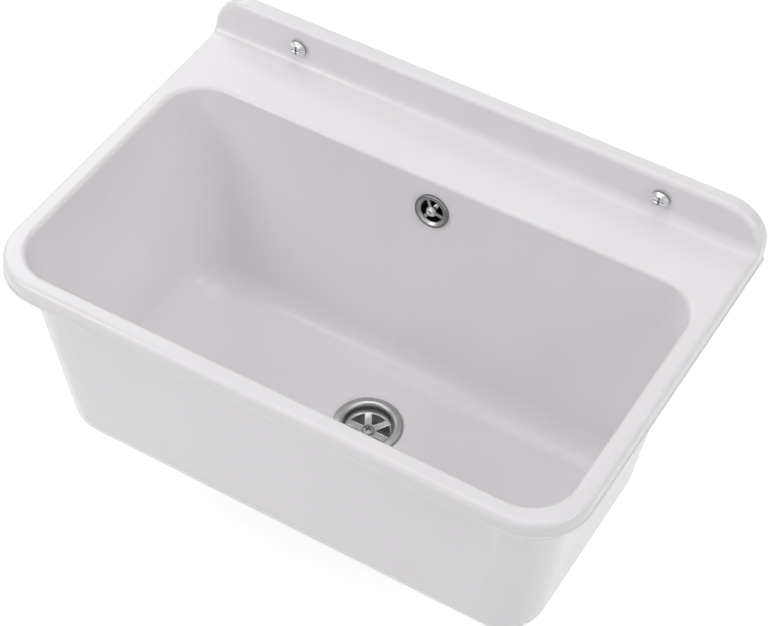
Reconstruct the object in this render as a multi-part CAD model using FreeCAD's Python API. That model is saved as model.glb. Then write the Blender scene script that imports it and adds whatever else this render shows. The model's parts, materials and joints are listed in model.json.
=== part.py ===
import FreeCAD, Part
import math
import os

# Wall-hung laundry tub with its waste and overflow set. Lengths are in millimetres.
# X runs along the wall, -Y out from the wall, Z up. The wall's face is Y = 0 and the
# origin lies in it, midway between the two wall fixings.

# Tub
overall_width = 600.0
overall_depth = 400.0
wall = 4.0                 # moulded wall thickness
fixing_height = 22.0       # wall fixings above the deck
fixing_spacing = 395.0     # between the two wall fixings
side_rim = 20.0            # outer edge to the opening, at the sides
front_rim = 20.0           # outer edge to the opening, at the front
rear_deck = 87.0           # wall face to the opening
rim_corner = 58.0          # plan radius of the two front corners
opening_corner = 43.0      # plan radius of the opening's corners
lip_height = 18.0          # turned-down lip
bead_out = 1.0             # bead along the lip's lower edge
bead_height = 2.4
bead_round = 0.9           # rounding on the bead's upper edge
edge_round = 6.0           # rounding along the rim's outer top edge
opening_round = 5.0        # rounding into the opening
upstand_height = 45.0      # above the deck
upstand_depth = 15.0       # wall face to the upstand's front face
upstand_corner = 40.0      # radius of the upstand's top corners
deck_fillet = 11.0         # hollow from the deck up to the upstand
basin_depth = 240.0        # deck to the underside of the floor
floor_width = 510.0        # outside, where the sides would meet the floor
floor_front = 363.0        # wall face to the foot of the front side
floor_back = 117.0         # wall face to the foot of the rear side
floor_corner = 43.0        # plan radius of the foot's corners
floor_round = 36.0         # outside radius between the sides and the floor
rib = 3.0                  # thickness of the ribs under the deck and the rim
deck_rib_drop = 78.0       # the deck ribs' lower end at the wall, below the deck
deck_rib_reach = 170.0     # their lower end at the basin, below the deck
deck_rib_spacing = 130.0   # between neighbouring deck ribs
deck_rib_count = 4
rim_rib_drop = 14.0        # the rim ribs' lower edge below the deck
rim_rib_spacing = 100.0
front_rib_count = 5
side_rib_count = 3
side_rib_middle = 232.0    # wall face to the middle side rib

# Wall fixings
screw_shank = 8.0          # over the thread
screw_neck = 7.0           # plain neck, between the head and the wall
screw_length = 60.0
screw_point = 9.0
screw_head = 18.0
screw_head_height = 6.0
screw_head_edge = 2.7      # straight part of the head's side
fixing_hole = 9.0
fixing_boss = 18.0         # boss behind the upstand, round each fixing hole
washer_size = 19.5
washer_thickness = 1.5
cross_slot = 2.0           # width of the cross recess
cross_length = 10.0
cross_depth = 2.4

# Waste
drain_back = 206.0         # wall face to the drain's axis
drain_hole = 55.0
flange_size = 70.0
flange_rise = 1.3          # the flange's crown above its edge
sheet = 1.2                # strainer sheet thickness
sheet_bend = 3.0           # inside radius from the flange down into the cup
cup_size = 50.0            # inside the strainer's cup
cup_depth = 12.0
grid_thickness = 1.5
grid_hub = 17.0
grid_window = 45.0         # outer diameter of the windows between the spokes
spoke_count = 6
spoke_width = 7.0
flange_seal = 1.0
seal_inset = 1.0           # a seal's edge inside the edge of what it seals
recess_depth = 2.0         # recess in the tub floor that takes the flange
pad_size = 88.0            # pad under the floor, round the drain hole
pad_thickness = 3.0
body_gasket = 3.0
body_flange = 76.0
body_flange_thickness = 4.0
bowl_depth = 44.0          # flange to the start of the cone
bowl_wall = 3.0
cone_height = 8.0
tail_size = 47.8           # outside the outlet's thread
tail_length = 22.0
tail_collar = 1.5          # collar above the outlet's thread
tail_bore = 40.3           # socket in the outlet, for a 40 mm pipe
tail_socket = 18.0
tail_bevel = 1.5           # bevel at the socket's mouth
tail_way = 37.0            # bore above the socket
bridge_drop = 16.0         # flange's top to the bridge's top
bridge_height = 12.0
bridge_arm = 3.5
bridge_hub = 15.0
bridge_arm_count = 3
bridge_first_arm = 30.0    # degrees from +X
insert_size = 9.0          # brass insert in the bridge
drain_thread = 6.0
drain_screw_length = 30.0
drain_head = 12.0
drain_head_height = 3.0
drain_head_edge = 1.3
drain_slot = 1.6
drain_slot_length = 6.6
drain_slot_depth = 1.6
drain_washer_size = 14.0
drain_washer_thickness = 1.0

# Overflow
overflow_drop = 34.6       # the overflow's centre below the deck
overflow_hole = 26.0
rosette_size = 36.0
rosette_thickness = 3.4
rosette_opening = 24.0
rosette_bevel = 2.6
rosette_round = 1.4        # rounding on the ring's outer edge
rosette_lip = 1.2          # height of the ring's inner edge
rosette_arm = 3.2
rosette_arm_count = 3
rosette_first_arm = 112.0  # degrees from +X, seen from the front
rosette_hub = 11.0
rosette_plate = 2.0        # arms and hub
overflow_gasket_size = 38.0
overflow_gasket_thickness = 2.5
elbow_flange_thickness = 3.0
elbow_size = 30.0
elbow_wall = 3.0
elbow_dome = 5.0           # rise of the chamber's domed top
elbow_back = 60.0          # wall face to the riser's axis
elbow_above = 17.0         # the chamber's top above the overflow's centre
elbow_below = 42.0         # the socket's mouth below the overflow's centre
post_start = 14.0          # tub's inner face to the insert's near end
post_size = 12.0
post_arm = 3.0
post_insert = 7.6
post_insert_length = 8.0
overflow_thread = 5.0
overflow_screw_length = 26.0
overflow_head = 8.4
overflow_head_height = 2.2
overflow_head_edge = 1.0
overflow_slot = 1.2
overflow_slot_length = 4.6
overflow_slot_depth = 1.2
overflow_washer_size = 9.6
overflow_washer_thickness = 0.8
end_bevel = 0.7            # bevel on the ends of the two machine screws

# Overflow pipe and its two unions
pipe_size = 22.0
pipe_wall = 1.8
pipe_bend = 30.0           # centre-line radius
branch_drop = 26.0         # branch axis below the body's flange
branch_reach = 56.0        # drain axis to the branch's mouth
union_thread = 33.0        # outside the male thread
socket_depth = 15.0
nut_size = 41.0
nut_skirt = 16.0           # length over the thread
nut_end = 3.0
nut_rib_count = 10
nut_rib_width = 3.6
nut_rib_out = 1.5
seal_height = 3.2
seal_cone = 3.0

# Clearances
running_gap = 0.05         # radial, in threads and running fits
seat_gap = 0.1             # under heads and between nut and seal
cone_gap = 0.3             # between a cone seal and its seat
slip_gap = 0.3             # radial, pipe in its socket
recess_gap = 0.5           # round the flange, in the floor's recess
screw_way = 0.8            # a through hole's diameter over its screw's

# Modelling
root = wall / 2            # how far ribs, bosses and pads run into the wall that carries them
over = 1.0                 # how far a cutting form runs past what it cuts
same_place = 0.01          # heights and places closer than this are one
sharp_angle = 20.0         # degrees between two faces that meet at a sharp edge

# Heights and places that follow from the sizes above
deck = -fixing_height
upstand_top = deck + upstand_height
inner_floor = deck - basin_depth + wall
underside = deck - basin_depth
flange_seat = inner_floor - recess_depth
pad_face = underside - pad_thickness
body_top = pad_face - body_gasket
flange_top = flange_seat + flange_seal + sheet + flange_rise
grid_top = flange_top - cup_depth
branch_axis = body_top - branch_drop
tail_start = body_top - bowl_depth - cone_height
tail_end = tail_start - tail_length
drain_centre = FreeCAD.Vector(0, -drain_back, 0)
opening_half = overall_width / 2 - side_rim
opening_front = overall_depth - front_rim
rear_slope = math.atan2(floor_back - rear_deck + wall, basin_depth)
overflow_axis = FreeCAD.Vector(0, -math.cos(rear_slope), math.sin(rear_slope))
overflow_centre = FreeCAD.Vector(
    0, -rear_deck - overflow_drop * math.tan(rear_slope), deck - overflow_drop)
overflow_wall = wall * math.cos(rear_slope)
elbow_mouth = deck - overflow_drop - elbow_below


# ---- Helpers ----

def arc(first, middle, last):
    return Part.Arc(first, middle, last).toShape()


def rounded_outline(x0, x1, y0, y1, z, front_radius, back_radius):
    """Closed wire of a rectangle with rounded corners, at height z."""
    corners = [(x0, y0, 1, 1, front_radius, 180), (x1, y0, -1, 1, front_radius, 270),
               (x1, y1, -1, -1, back_radius, 0), (x0, y1, 1, -1, back_radius, 90)]
    edges = []
    ends = []
    for x, y, inward_x, inward_y, radius, start in corners:
        centre = FreeCAD.Vector(x + inward_x * radius, y + inward_y * radius, z)
        points = []
        for turn in (0, 45, 90):
            angle = math.radians(start + turn)
            points.append(centre + FreeCAD.Vector(radius * math.cos(angle), radius * math.sin(angle), 0))
        ends.append(points)
    for i, points in enumerate(ends):
        if corners[i][4] > 0:
            edges.append(arc(*points))
        edges.append(Part.makeLine(points[2], ends[(i + 1) % 4][0]))
    return Part.Wire(edges)


def profile_wire(steps):
    """Closed wire in the XZ plane: a step is a point, or an arc's middle and end points."""
    edges = []
    here = FreeCAD.Vector(steps[0][0], 0, steps[0][1])
    first = here
    for step in steps[1:]:
        if isinstance(step[0], tuple):
            middle = FreeCAD.Vector(step[0][0], 0, step[0][1])
            end = FreeCAD.Vector(step[1][0], 0, step[1][1])
            edges.append(arc(here, middle, end))
        else:
            end = FreeCAD.Vector(step[0], 0, step[1])
            edges.append(Part.makeLine(here, end))
        here = end
    edges.append(Part.makeLine(here, first))
    return Part.Wire(edges)


def turned(steps):
    """Solid turned about Z from a profile of (radius, height) steps."""
    return Part.Face(profile_wire(steps)).revolve(FreeCAD.Vector(), FreeCAD.Vector(0, 0, 1), 360)


def turn(x, z, radius, first, last):
    """Middle and end points of a profile's arc about a centre, between two angles in degrees."""
    points = []
    for degrees in ((first + last) / 2, last):
        angle = math.radians(degrees)
        points.append((x + radius * math.cos(angle), z + radius * math.sin(angle)))
    return tuple(points)


def dome(radius, low, top):
    """Middle and end points of a dome's arc, from the axis down to its edge."""
    sag = top - low
    ball = (radius ** 2 + sag ** 2) / (2 * sag)
    half_turn = math.asin(radius / ball) / 2
    middle = (ball * math.sin(half_turn), top - ball * (1 - math.cos(half_turn)))
    return (middle, (radius, low))


def disc(diameter, low, high):
    return Part.makeCylinder(diameter / 2, high - low, FreeCAD.Vector(0, 0, low))


def ring(outer, inner, low, high):
    return disc(outer, low, high).cut(disc(inner, low - over, high + over))


def bar(x0, x1, y0, y1, z0, z1):
    return Part.makeBox(x1 - x0, y1 - y0, z1 - z0, FreeCAD.Vector(x0, y0, z0))


def polar(shape, count, first=0.0):
    """Copies of a shape, evenly spaced about Z."""
    copies = []
    for i in range(count):
        copy = shape.copy()
        copy.rotate(FreeCAD.Vector(), FreeCAD.Vector(0, 0, 1), first + 360.0 * i / count)
        copies.append(copy)
    return copies


def placed(shape, origin, axis):
    """The shape with its Z axis turned to the given axis and its origin moved."""
    copy = shape.copy()
    turn = FreeCAD.Rotation(FreeCAD.Vector(0, 0, 1), axis)
    copy.Placement = FreeCAD.Placement(origin, turn).multiply(copy.Placement)
    return copy


def mixed(top, bottom, depth):
    """A wall's place at a depth below the deck, on its straight draft."""
    return top + (bottom - top) * depth / basin_depth


# ---- Tub ----

def basin_outline(depth, inset):
    half = mixed(opening_half + wall, floor_width / 2, depth) - inset
    front = mixed(opening_front + wall, floor_front, depth) - inset
    back = mixed(rear_deck - wall, floor_back, depth) + inset
    corner = mixed(opening_corner + wall, floor_corner, depth) - inset
    return rounded_outline(-half, half, -front, -back, deck - depth, corner, corner)


def basin_form(inset):
    """The basin's outside, or its inside when inset by the wall."""
    depth = basin_depth - inset
    form = Part.makeLoft([basin_outline(0, inset), basin_outline(depth, inset)], True, True)
    foot = [e for e in form.Edges if e.BoundBox.ZMax < deck - depth + same_place]
    return form.makeFillet(floor_round - inset, foot)


def is_sharp(shape, edge):
    """True where an edge's two faces meet at a clear angle."""
    faces = shape.ancestorsOfType(edge, Part.Face)
    point = edge.valueAt((edge.FirstParameter + edge.LastParameter) / 2)
    normals = [face.normalAt(*face.Surface.parameter(point)) for face in faces]
    return len(normals) == 2 and normals[0].getAngle(normals[1]) > math.radians(sharp_angle)


def rim_form(side, down, low, back):
    """Deck and upstand as one block, moved in at the sides and down at the top, rounded on top."""
    half = overall_width / 2 - side
    front = overall_depth - side
    face = -upstand_depth + down
    hollow = FreeCAD.Vector(0, -upstand_depth - deck_fillet, deck + deck_fillet)
    reach = (deck_fillet + down) * math.sqrt(0.5)
    points = [(back, low), (-front, low), (-front, deck - down), (hollow.y, deck - down),
              (face, hollow.z), (face, upstand_top - down), (back, upstand_top - down)]
    points = [FreeCAD.Vector(-half, y, z) for y, z in points]
    middle = FreeCAD.Vector(-half, hollow.y + reach, hollow.z - reach)
    edges = []
    for i, point in enumerate(points):
        after = points[(i + 1) % len(points)]
        if i == 3:
            edges.append(arc(point, middle, after))
        else:
            edges.append(Part.makeLine(point, after))
    block = Part.Face(Part.Wire(edges)).extrude(FreeCAD.Vector(2 * half, 0, 0))
    plan = rounded_outline(-half, half, -front, back, low, rim_corner - side, 0)
    block = block.common(Part.Face(plan).extrude(FreeCAD.Vector(0, 0, upstand_top - low)))
    block = block.common(upstand_outline(half, low, down, back))
    chain = []
    for edge in block.Edges:
        box = edge.BoundBox
        on_foot = box.ZMax < low + same_place
        on_back = box.YMin > back - same_place
        if is_sharp(block, edge) and not on_foot and not on_back:
            chain.append(edge)
    return block.makeFillet(edge_round - down, chain)


def upstand_outline(half, low, down, back):
    """Prism along Y that gives the upstand its two rounded top corners."""
    top = upstand_top - down
    radius = upstand_corner - down
    bend = radius * (1 - math.sqrt(0.5))
    steps = [(-half, low), (half, low), (half, top - radius),
             ((half - bend, top - bend), (half - radius, top)), (radius - half, top),
             ((bend - half, top - bend), (-half, top - radius))]
    face = Part.Face(profile_wire(steps))
    face.translate(FreeCAD.Vector(0, -overall_depth, 0))
    return face.extrude(FreeCAD.Vector(0, overall_depth + back, 0))


def lip_bead():
    """Thin outward bead along the lip's lower edge."""
    half = overall_width / 2
    low = deck - lip_height
    plan = rounded_outline(-half, half, -overall_depth, 0, low, rim_corner, 0)
    bead = Part.Face(plan).extrude(FreeCAD.Vector(0, 0, bead_height))
    upper = [e for e in bead.Edges if e.BoundBox.ZMin > low + bead_height - same_place
             and e.BoundBox.YMin < -same_place]
    bead = bead.makeFillet(bead_round, upper)
    inset = bead_out + wall
    inner = rounded_outline(inset - half, half - inset, inset - overall_depth, wall, low - over,
                            rim_corner - inset, 0)
    return bead.cut(Part.Face(inner).extrude(FreeCAD.Vector(0, 0, bead_height + 2 * over)))


def deck_ribs():
    """Upright ribs from the basin's rear side to the wall, under the deck."""
    top = deck - root
    near = -mixed(rear_deck - wall, floor_back, 0) - wall
    far = -mixed(rear_deck - wall, floor_back, deck_rib_reach) - root
    foot = deck - deck_rib_drop
    points = [(near, top), (0, top), (0, foot), (-upstand_depth, foot), (far, deck - deck_rib_reach)]
    corners = [FreeCAD.Vector(0, y, z) for y, z in points + points[:1]]
    face = Part.Face(Part.makePolygon(corners))
    ribs = []
    for i in range(deck_rib_count):
        one = face.extrude(FreeCAD.Vector(rib, 0, 0))
        one.translate(FreeCAD.Vector((i - (deck_rib_count - 1) / 2) * deck_rib_spacing - rib / 2, 0, 0))
        ribs.append(one)
    return ribs


def rim_ribs():
    """Small webs between the lip and the basin, under the rim."""
    lip = bead_out + root
    low = deck - rim_rib_drop
    top = deck - root
    webs = []
    for i in range(front_rib_count):
        x = (i - (front_rib_count - 1) / 2) * rim_rib_spacing
        webs.append(bar(x - rib / 2, x + rib / 2, lip - overall_depth, -opening_front - root, low, top))
    for i in range(side_rib_count):
        y = (i - (side_rib_count - 1) / 2) * rim_rib_spacing - side_rib_middle
        outer = overall_width / 2 - lip
        inner = opening_half + root
        webs.append(bar(-outer, -inner, y - rib / 2, y + rib / 2, low, top))
        webs.append(bar(inner, outer, y - rib / 2, y + rib / 2, low, top))
    return webs


def tub():
    low = deck - lip_height
    shell = rim_form(bead_out, 0, low, 0)
    shell = shell.cut(rim_form(bead_out + wall, wall, low - over, over))
    bosses = []
    for side in (-1, 1):
        boss = disc(fixing_boss, 0, upstand_depth - root)
        bosses.append(placed(boss, FreeCAD.Vector(side * fixing_spacing / 2, 0, 0), FreeCAD.Vector(0, -1, 0)))
    pad = disc(pad_size, pad_face, underside + root)
    pad.translate(drain_centre)
    solid = shell.fuse([lip_bead(), basin_form(0), pad] + bosses + deck_ribs() + rim_ribs())
    solid = solid.cut(basin_form(wall))
    solid = solid.removeSplitter()
    mouth = []
    for edge in solid.Edges:
        box = edge.BoundBox
        level = box.ZMin > deck - same_place and box.ZMax < deck + same_place
        inside = box.XMin > -opening_half - same_place and box.XMax < opening_half + same_place
        clear = box.YMin > -opening_front - same_place and box.YMax < -rear_deck + same_place
        if level and inside and clear:
            mouth.append(edge)
    solid = solid.makeFillet(opening_round, mouth)
    rim_of_recess = flange_size / 2 + recess_gap
    recess = turned([(0, flange_seat), (rim_of_recess, flange_seat),
                     (rim_of_recess + recess_depth + over, inner_floor + over), (0, inner_floor + over)])
    recess.translate(drain_centre)
    hole = disc(drain_hole, pad_face - over, inner_floor + over)
    hole.translate(drain_centre)
    weir = placed(disc(overflow_hole, -overflow_wall - over, over), overflow_centre, overflow_axis)
    cuts = [recess, hole, weir]
    for side in (-1, 1):
        way = disc(fixing_hole, -over, upstand_depth + over)
        cuts.append(placed(way, FreeCAD.Vector(side * fixing_spacing / 2, 0, 0), FreeCAD.Vector(0, -1, 0)))
    return solid.cut(cuts)


# ---- Screws and washers, head up along +Z, with the head's underside at z = 0 ----

def cross(width, length, depth, top):
    """Cross recess to cut from a head."""
    slot = bar(-length / 2, length / 2, -width / 2, width / 2, top - depth, top + over)
    return slot.fuse(polar(slot, 1, 90))


def screw(head, height, edge, shank, recess):
    """Domed head with a cross recess, over a shank given as profile steps down to the axis."""
    body = turned([(0, height), dome(head / 2, edge, height), (head / 2, 0)] + shank)
    return body.cut(recess)


def washer(outer, hole, thickness):
    return ring(outer, hole, 0, thickness)


def wall_seat(side, stand_off):
    """A point on a wall fixing's axis, in front of the upstand."""
    return FreeCAD.Vector(side * fixing_spacing / 2, -upstand_depth - stand_off, 0)


def wall_screw(side):
    """Wood screw: a neck through the tub, and its thread, drawn plain, from the wall plane on."""
    stand_off = washer_thickness + 2 * seat_gap
    thread_start = -upstand_depth - stand_off
    radius = screw_shank / 2
    neck = screw_neck / 2
    shank = [(neck, 0), (neck, thread_start), (radius, thread_start),
             (radius, screw_point - screw_length), (0, -screw_length)]
    recess = cross(cross_slot, cross_length, cross_depth, screw_head_height)
    shape = screw(screw_head, screw_head_height, screw_head_edge, shank, recess)
    return placed(shape, wall_seat(side, stand_off), FreeCAD.Vector(0, -1, 0))


def wall_washer(side):
    shape = washer(washer_size, screw_shank + 4 * running_gap, washer_thickness)
    return placed(shape, wall_seat(side, seat_gap), FreeCAD.Vector(0, -1, 0))


# ---- Waste, built about the Z axis at its true heights and moved to the drain ----

def drain_strainer():
    """Pressed flange and cup, with a spoked grid across the cup's floor."""
    low = flange_seat + flange_seal
    outer = flange_size / 2
    inner = cup_size / 2
    skirt = inner + sheet
    bend = sheet_bend + sheet
    under_top = flange_top - sheet
    floor = grid_top - grid_thickness
    steps = [(outer, low), turn(outer - sheet, low, sheet, 0, 90), (inner + bend, flange_top),
             turn(inner + bend, flange_top - bend, bend, 90, 180), (inner, floor), (skirt, floor),
             (skirt, under_top - sheet_bend),
             turn(skirt + sheet_bend, under_top - sheet_bend, sheet_bend, 180, 90), (outer - 2 * sheet, low)]
    body = turned(steps)
    windows = ring(grid_window, grid_hub, floor - over, grid_top + over)
    spoke = bar(0, inner, -spoke_width / 2, spoke_width / 2, floor - 2 * over, grid_top + 2 * over)
    windows = windows.cut(polar(spoke, spoke_count))
    grid = disc(cup_size + sheet, floor, grid_top)
    way = disc(drain_thread + screw_way, floor - over, grid_top + over)
    return body.fuse(grid).cut([windows, way])


def drain_flange_seal():
    outer = flange_size - 2 * seal_inset
    return ring(outer, drain_hole + 2 * seal_inset, flange_seat, flange_seat + flange_seal)


def machine_screw(thread, length, head, height, edge, recess):
    """Domed screw with its thread drawn plain and its end bevelled."""
    radius = thread / 2
    shank = [(radius, 0), (radius, end_bevel - length), (radius - end_bevel, -length), (0, -length)]
    return screw(head, height, edge, shank, recess)


def drain_screw():
    recess = cross(drain_slot, drain_slot_length, drain_slot_depth, drain_head_height)
    shape = machine_screw(drain_thread, drain_screw_length, drain_head, drain_head_height,
                          drain_head_edge, recess)
    shape.translate(FreeCAD.Vector(0, 0, grid_top + drain_washer_thickness + 2 * seat_gap))
    return shape


def drain_screw_washer():
    shape = washer(drain_washer_size, drain_thread + 4 * running_gap, drain_washer_thickness)
    shape.translate(FreeCAD.Vector(0, 0, grid_top + seat_gap))
    return shape


def drain_body_gasket():
    return ring(body_flange, drain_hole + seal_inset, body_top, pad_face)


def bridge(hub, bore, arm, span, low, high, count, first):
    """Hub on radial arms, with a bored hole for a brass insert."""
    arms = polar(bar(0, span, -arm / 2, arm / 2, low, high), count, first)
    return disc(hub, low, high).fuse(arms).cut(disc(bore, low - over, high + over))


def drain_body():
    """Flanged bowl with a threaded outlet, a side branch and a bridge for the screw."""
    bore = drain_hole / 2
    outer = bore + bowl_wall
    low = body_top - bowl_depth
    tail = tail_size / 2
    collar = tail + tail_collar
    shell = turned([(0, body_top), (body_flange / 2, body_top),
                    (body_flange / 2, body_top - body_flange_thickness),
                    (outer, body_top - body_flange_thickness - bowl_wall), (outer, low),
                    (collar, tail_start + bowl_wall), (collar, tail_start),
                    (tail, tail_start), (tail, tail_end), (0, tail_end)])
    branch = union_male(branch_reach - bore)
    mouth = FreeCAD.Vector(0, branch_reach, branch_axis)
    along = FreeCAD.Vector(0, 1, 0)
    solid = shell.fuse(placed(branch, mouth, along))
    socket = tail_bore / 2
    way = tail_way / 2
    hollow = turned([(0, body_top + over), (bore, body_top + over), (bore, low),
                     (way, tail_start + bowl_wall), (way, tail_end + tail_socket),
                     (socket, tail_end + tail_socket), (socket, tail_end + tail_bevel),
                     (socket + tail_bevel + over, tail_end - over), (0, tail_end - over)])
    solid = solid.cut([hollow, placed(union_bore(branch_reach), mouth, along)])
    top = body_top - bridge_drop
    arms = bridge(bridge_hub, insert_size, bridge_arm, bore + bowl_wall / 2, top - bridge_height, top,
                  bridge_arm_count, bridge_first_arm)
    return solid.fuse(arms).removeSplitter()


def drain_nut_insert():
    top = body_top - bridge_drop
    return ring(insert_size, drain_thread + 2 * running_gap, top - bridge_height, top)


# ---- Unions: the socket's mouth is z = 0 and faces +Z ----

def union_male(length):
    """Outside of a threaded socket, from its root to its mouth."""
    return disc(union_thread, -length, 0)


def union_bore(length):
    """Inside of a socket: a bevel, the pipe's seat and the way on through."""
    seat = pipe_size / 2 + slip_gap
    way = pipe_size / 2 - pipe_wall
    return turned([(0, over), (seat + seal_cone + over, over), (seat, -seal_cone), (seat, -socket_depth),
                   (way, -socket_depth), (way, -length), (0, -length)])


def cone_seal():
    inner = pipe_size / 2 + running_gap
    seat = pipe_size / 2 + slip_gap
    back_off = cone_gap * math.sqrt(2)
    tip = -seal_cone + back_off + slip_gap
    broad = seat + seal_cone - back_off
    return turned([(inner, tip), (seat + seal_cone + tip - back_off, tip), (broad, 0),
                   (broad, seal_height), (inner, seal_height)])


def union_nut():
    end = seal_height + seat_gap
    bore = union_thread + 2 * running_gap
    body = disc(nut_size, -nut_skirt, end + nut_end)
    lug = bar(nut_size / 2 - over, nut_size / 2 + nut_rib_out, -nut_rib_width / 2, nut_rib_width / 2,
              -nut_skirt, end + nut_end)
    body = body.fuse(polar(lug, nut_rib_count))
    way = disc(pipe_size + 4 * slip_gap, end - over, end + nut_end + over)
    return body.cut([disc(bore, -nut_skirt - over, end), way])


def at_branch(shape):
    return placed(shape, drain_centre + FreeCAD.Vector(0, branch_reach, branch_axis), FreeCAD.Vector(0, 1, 0))


def at_elbow(shape):
    return placed(shape, FreeCAD.Vector(0, -elbow_back, elbow_mouth), FreeCAD.Vector(0, 0, -1))


def pipe_run(radius):
    """Solid of one radius along the overflow pipe's path: level, then a bend, then upright."""
    start = FreeCAD.Vector(0, branch_reach - drain_back - socket_depth, branch_axis)
    bend_in = FreeCAD.Vector(0, -elbow_back - pipe_bend, branch_axis)
    bend_out = FreeCAD.Vector(0, -elbow_back, branch_axis + pipe_bend)
    half = pipe_bend * math.sqrt(0.5)
    middle = FreeCAD.Vector(0, bend_in.y + half, bend_out.z - half)
    end = FreeCAD.Vector(0, -elbow_back, elbow_mouth + socket_depth)
    path = Part.Wire([Part.makeLine(start, bend_in), arc(bend_in, middle, bend_out),
                      Part.makeLine(bend_out, end)])
    section = Part.Wire([Part.makeCircle(radius, start, FreeCAD.Vector(0, 1, 0))])
    return path.makePipeShell([section], True, False)


def overflow_pipe():
    return pipe_run(pipe_size / 2).cut(pipe_run(pipe_size / 2 - pipe_wall))


# ---- Overflow, built with the tub's inner face at z = 0 and +Z into the basin ----

def at_overflow(shape):
    return placed(shape, overflow_centre, overflow_axis)


def overflow_rosette():
    """Bevelled ring with three arms to a hub."""
    outer = rosette_size / 2
    opening = rosette_opening / 2
    shoulder = rosette_thickness - rosette_round
    body = turned([(outer, 0), (outer, shoulder), turn(outer - rosette_round, shoulder, rosette_round, 0, 90),
                   (opening + rosette_bevel, rosette_thickness), (opening, rosette_lip), (opening, 0)])
    arms = polar(bar(0, opening + over, -rosette_arm / 2, rosette_arm / 2, 0, rosette_plate),
                 rosette_arm_count, rosette_first_arm)
    body = body.fuse(arms + [disc(rosette_hub, 0, rosette_plate)])
    return body.cut(disc(overflow_thread + screw_way, -over, rosette_plate + over))


def overflow_screw():
    recess = cross(overflow_slot, overflow_slot_length, overflow_slot_depth, overflow_head_height)
    shape = machine_screw(overflow_thread, overflow_screw_length, overflow_head, overflow_head_height,
                          overflow_head_edge, recess)
    shape.translate(FreeCAD.Vector(0, 0, rosette_plate + overflow_washer_thickness + 2 * seat_gap))
    return shape


def overflow_screw_washer():
    shape = washer(overflow_washer_size, overflow_thread + 4 * running_gap, overflow_washer_thickness)
    shape.translate(FreeCAD.Vector(0, 0, rosette_plate + seat_gap))
    return shape


def overflow_gasket():
    low = -overflow_wall - overflow_gasket_thickness
    return ring(overflow_gasket_size, overflow_hole, low, -overflow_wall)


def elbow_chamber(diameter, top, low):
    """Upright round chamber with a domed top, at the riser's place."""
    radius = diameter / 2
    shape = turned([(0, top), dome(radius, top - elbow_dome, top), (radius, low), (0, low)])
    shape.translate(FreeCAD.Vector(0, -elbow_back, 0))
    return shape


def overflow_elbow():
    """Flanged elbow from the overflow hole to the riser's socket."""
    face = -overflow_wall - overflow_gasket_thickness
    reach = (-elbow_back - overflow_centre.y) / math.cos(rear_slope)
    neck = disc(elbow_size, -reach, face)
    plate = disc(overflow_gasket_size, face - elbow_flange_thickness, face)
    chamber = elbow_chamber(elbow_size, overflow_centre.z + elbow_above, elbow_mouth)
    solid = chamber.fuse([at_overflow(neck), at_overflow(plate), at_elbow(union_male(nut_skirt + nut_end))])
    inside = elbow_size - 2 * elbow_wall
    cavity_top = overflow_centre.z + elbow_above - elbow_wall
    cavity = elbow_chamber(inside, cavity_top, elbow_mouth + socket_depth + elbow_wall)
    solid = solid.cut([cavity, at_overflow(disc(inside, -reach, face + over)),
                       at_elbow(union_bore(elbow_below))])
    post = bridge(post_size, post_insert, post_arm, inside / 2 + over, -post_start - post_insert_length,
                  -post_start, rosette_arm_count, rosette_first_arm)
    return solid.fuse(at_overflow(post)).removeSplitter()


def overflow_nut_insert():
    low = -post_start - post_insert_length
    return ring(post_insert, overflow_thread + 2 * running_gap, low, -post_start)


def at_drain(shape):
    copy = shape.copy()
    copy.translate(drain_centre)
    return copy


nodes = {
    "tub": tub(),
    "wall_screw_left": wall_screw(-1),
    "wall_screw_right": wall_screw(1),
    "wall_washer_left": wall_washer(-1),
    "wall_washer_right": wall_washer(1),
    "drain_strainer": at_drain(drain_strainer()),
    "drain_flange_seal": at_drain(drain_flange_seal()),
    "drain_screw": at_drain(drain_screw()),
    "drain_screw_washer": at_drain(drain_screw_washer()),
    "drain_body_gasket": at_drain(drain_body_gasket()),
    "drain_body": at_drain(drain_body()),
    "drain_nut_insert": at_drain(drain_nut_insert()),
    "lower_union_nut": at_branch(union_nut()),
    "lower_cone_seal": at_branch(cone_seal()),
    "overflow_pipe": overflow_pipe(),
    "upper_union_nut": at_elbow(union_nut()),
    "upper_cone_seal": at_elbow(cone_seal()),
    "overflow_elbow": overflow_elbow(),
    "overflow_nut_insert": at_overflow(overflow_nut_insert()),
    "overflow_gasket": at_overflow(overflow_gasket()),
    "overflow_rosette": at_overflow(overflow_rosette()),
    "overflow_screw": at_overflow(overflow_screw()),
    "overflow_screw_washer": at_overflow(overflow_screw_washer()),
}

os.makedirs("parts", exist_ok=True)
for name, shape in nodes.items():
    print(name, len(shape.Solids), shape.isValid(), round(shape.Volume, 1))
    shape.exportStep("parts/" + name + ".step")
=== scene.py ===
import bpy
import bmesh
import json
import math
from mathutils import Matrix, Vector


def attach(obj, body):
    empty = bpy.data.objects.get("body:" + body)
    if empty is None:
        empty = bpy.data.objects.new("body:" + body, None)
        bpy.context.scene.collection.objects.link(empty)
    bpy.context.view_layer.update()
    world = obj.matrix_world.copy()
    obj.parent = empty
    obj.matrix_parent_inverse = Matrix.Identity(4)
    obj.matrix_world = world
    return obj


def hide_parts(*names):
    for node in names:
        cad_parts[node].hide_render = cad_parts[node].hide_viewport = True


# Wall-hung laundry tub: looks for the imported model. Lengths are in metres.

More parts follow.
